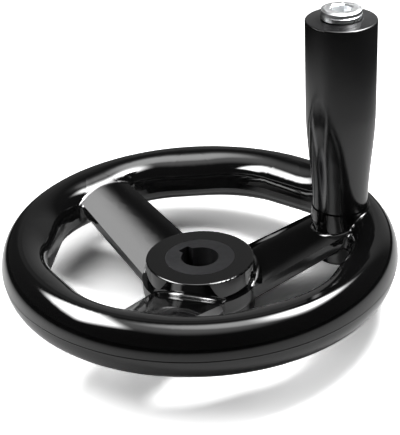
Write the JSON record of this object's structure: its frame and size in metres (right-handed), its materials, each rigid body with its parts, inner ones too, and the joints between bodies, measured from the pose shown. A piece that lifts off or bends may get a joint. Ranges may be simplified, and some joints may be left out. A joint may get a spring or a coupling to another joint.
{
  "type": "machine handwheel",
  "caption": "Moulded spoked handwheel with a keyed steel bush and a revolving handle, for turning a machine's shaft by hand.",
  "frame": {"origin": "on the shaft axis, in the back face of the hub", "axes": "+Z along the shaft axis towards the handle's side, +X along the spoke that carries the handle"},
  "size_m": [0.125, 0.125, 0.0959],
  "materials": {
    "black_moulding": "polished black thermoset, mould gloss",
    "blackened_steel": "black oxide, turned",
    "plain_steel": "turned steel",
    "zinc_plated_steel": "zinc plated, slightly clouded",
    "black_handle": "polished black thermoset, mould gloss"
  },
  "bodies": {
    "wheel": {"wheel_body": "black_moulding", "hub_bush": "blackened_steel", "handle_insert": "plain_steel", "handle_spindle": "zinc_plated_steel", "handle_washer": "zinc_plated_steel"},
    "grip": {"handle_grip": "black_handle"}
  },
  "joints": [
    {"name": "grip_spin", "type": "hinge", "parent": "wheel", "child": "grip", "pos_m": [0.0466, 0, 0.0299], "axis": [0, 0, 1], "continuous": true}
  ]
}
